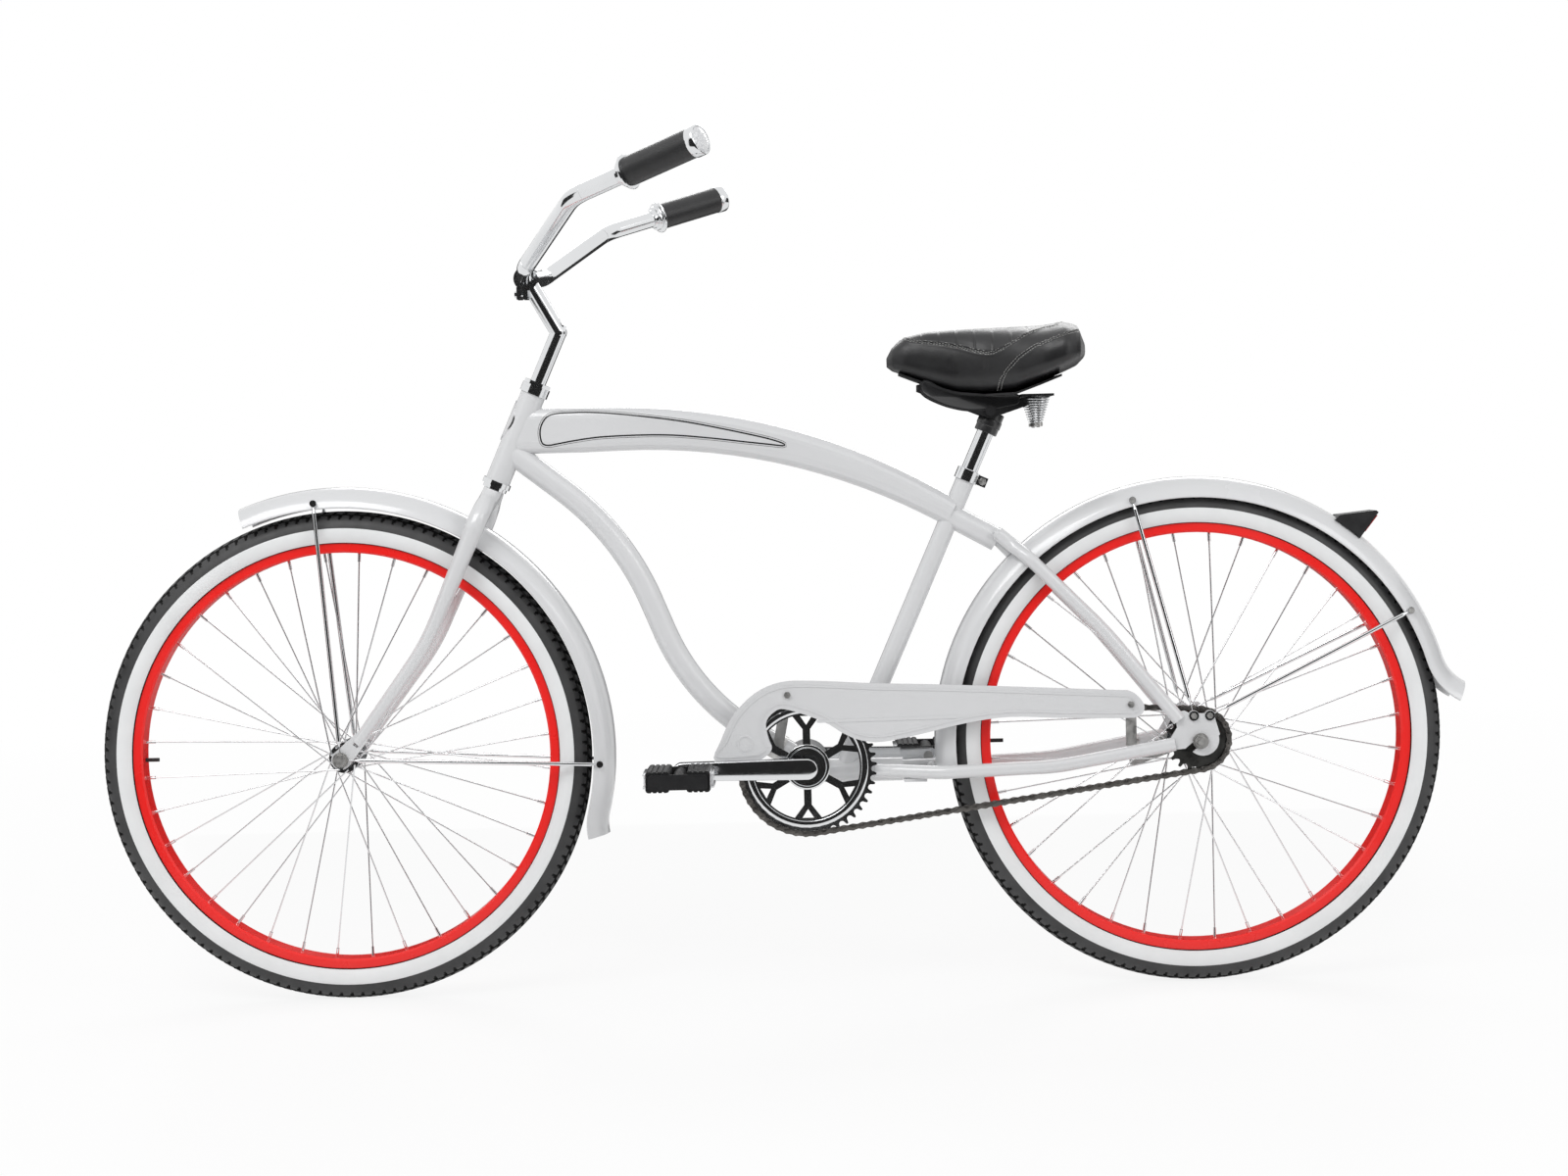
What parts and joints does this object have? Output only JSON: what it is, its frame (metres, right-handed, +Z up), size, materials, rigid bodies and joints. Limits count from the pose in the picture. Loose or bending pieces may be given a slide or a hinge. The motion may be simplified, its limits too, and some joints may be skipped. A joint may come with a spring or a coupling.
{
  "type": "beach cruiser bicycle",
  "caption": "Beach cruiser bicycle with arched frame, swept-back bar, sprung saddle, fenders, chain guard and coaster brake; wheels, steering, cranks and pedals turn.",
  "frame": {"origin": "on the ground, under the middle of the bicycle's overall length and width", "axes": "+X towards the rear wheel, +Z up, -Y towards the chain side"},
  "size_m": [1.823, 0.7558, 1.11],
  "materials": {
    "white_paint": "gloss",
    "red_paint": "gloss",
    "black_paint": "satin",
    "chrome": "polished",
    "zinc_steel": "satin",
    "tyre": "matt black tread with white walls",
    "inner_rubber": "matt",
    "grip_leather": "satin",
    "saddle_cover": "satin, padded",
    "black_plastic": "matt",
    "red_lens": "gloss",
    "chain_steel": "oiled",
    "badge": "gloss"
  },
  "bodies": {
    "frame": {"head_tube": "white_paint", "head_badge": "badge", "bearing_cups": "chrome", "top_tube": "white_paint", "down_tube": "white_paint", "bottom_bracket_shell": "white_paint", "lower_tube": "white_paint", "seat_tube": "white_paint", "seat_stub": "white_paint", "chain_stays": "white_paint", "seat_stays": "white_paint", "dropouts": "white_paint", "frame_bridges": "white_paint", "seat_clamp": "chrome", "frame_bolts": "chrome", "rear_fender": "white_paint", "rear_fender_stays": "chrome", "chain_guard": "white_paint", "guard_brackets": "zinc_steel", "reflector_housing": "black_plastic", "reflector_lens": "red_lens", "rear_axle": "chrome", "rear_bearings": "zinc_steel", "brake_shoes": "zinc_steel", "brake_arm": "zinc_steel", "chain": "chain_steel"},
    "steering": {"fork": "white_paint", "headset_cones": "chrome", "headset_balls": "zinc_steel", "stem": "chrome", "stem_bolts": "chrome", "handlebar": "chrome", "grips": "grip_leather", "grip_rings": "chrome", "front_fender": "white_paint", "front_fender_stays": "chrome", "front_axle": "chrome", "front_bearings": "zinc_steel"},
    "front_wheel": {"front_tyre": "tyre", "front_inner_tube": "inner_rubber", "front_rim": "red_paint", "front_spokes": "chrome", "front_hub": "chrome"},
    "rear_wheel": {"rear_tyre": "tyre", "rear_inner_tube": "inner_rubber", "rear_rim": "red_paint", "rear_spokes": "chrome", "rear_hub": "chrome"},
    "driver": {"rear_cog": "zinc_steel"},
    "crank_set": {"crank": "chrome", "crank_bearings": "zinc_steel", "chainring": "chrome", "pedal_spindles": "zinc_steel"},
    "near_pedal": {"near_pedal": "black_plastic"},
    "far_pedal": {"far_pedal": "black_plastic"},
    "seat_post": {"seatpost": "chrome"},
    "saddle": {"saddle_truss": "black_paint", "saddle_pan": "black_plastic", "saddle_cushion": "saddle_cover", "saddle_springs": "chrome"}
  },
  "joints": [
    {"name": "steering_turn", "type": "hinge", "parent": "frame", "child": "steering", "pos_m": [-0.5415, 0, 0.30929], "axis": [0.4067, 0, 0.9135], "range_deg": [-90, 90]},
    {"name": "front_wheel_spin", "type": "hinge", "parent": "steering", "child": "front_wheel", "pos_m": [-0.58352, 0, 0.328], "axis": [0, -1, 0], "continuous": true},
    {"name": "rear_wheel_spin", "type": "hinge", "parent": "frame", "child": "rear_wheel", "pos_m": [0.55048, 0, 0.328], "axis": [0, -1, 0], "continuous": true},
    {"name": "crank_spin", "type": "hinge", "parent": "frame", "child": "crank_set", "pos_m": [0.03248, 0, 0.303], "axis": [0, -1, 0], "continuous": true, "deforming": ["chain"]},
    {"name": "driver_spin", "type": "hinge", "parent": "frame", "child": "driver", "pos_m": [0.55048, 0, 0.328], "axis": [0, -1, 0], "continuous": true},
    {"name": "near_pedal_spin", "type": "hinge", "parent": "crank_set", "child": "near_pedal", "pos_m": [-0.13252, 0, 0.303], "axis": [0, -1, 0], "continuous": true},
    {"name": "far_pedal_spin", "type": "hinge", "parent": "crank_set", "child": "far_pedal", "pos_m": [0.19748, 0, 0.303], "axis": [0, -1, 0], "continuous": true},
    {"name": "seatpost_slide", "type": "slide", "parent": "frame", "child": "seat_post", "axis": [0.4067, 0, 0.9135], "range_m": [-0.04, 0.06]},
    {"name": "saddle_tilt", "type": "hinge", "parent": "seat_post", "child": "saddle", "pos_m": [0.28595, 0, 0.76848], "axis": [0, 1, 0], "range_deg": [-12, 12]}
  ],
  "couplings": [
    {"joint": "driver_spin", "follows": "crank_spin", "ratio": 2.2}
  ]
}
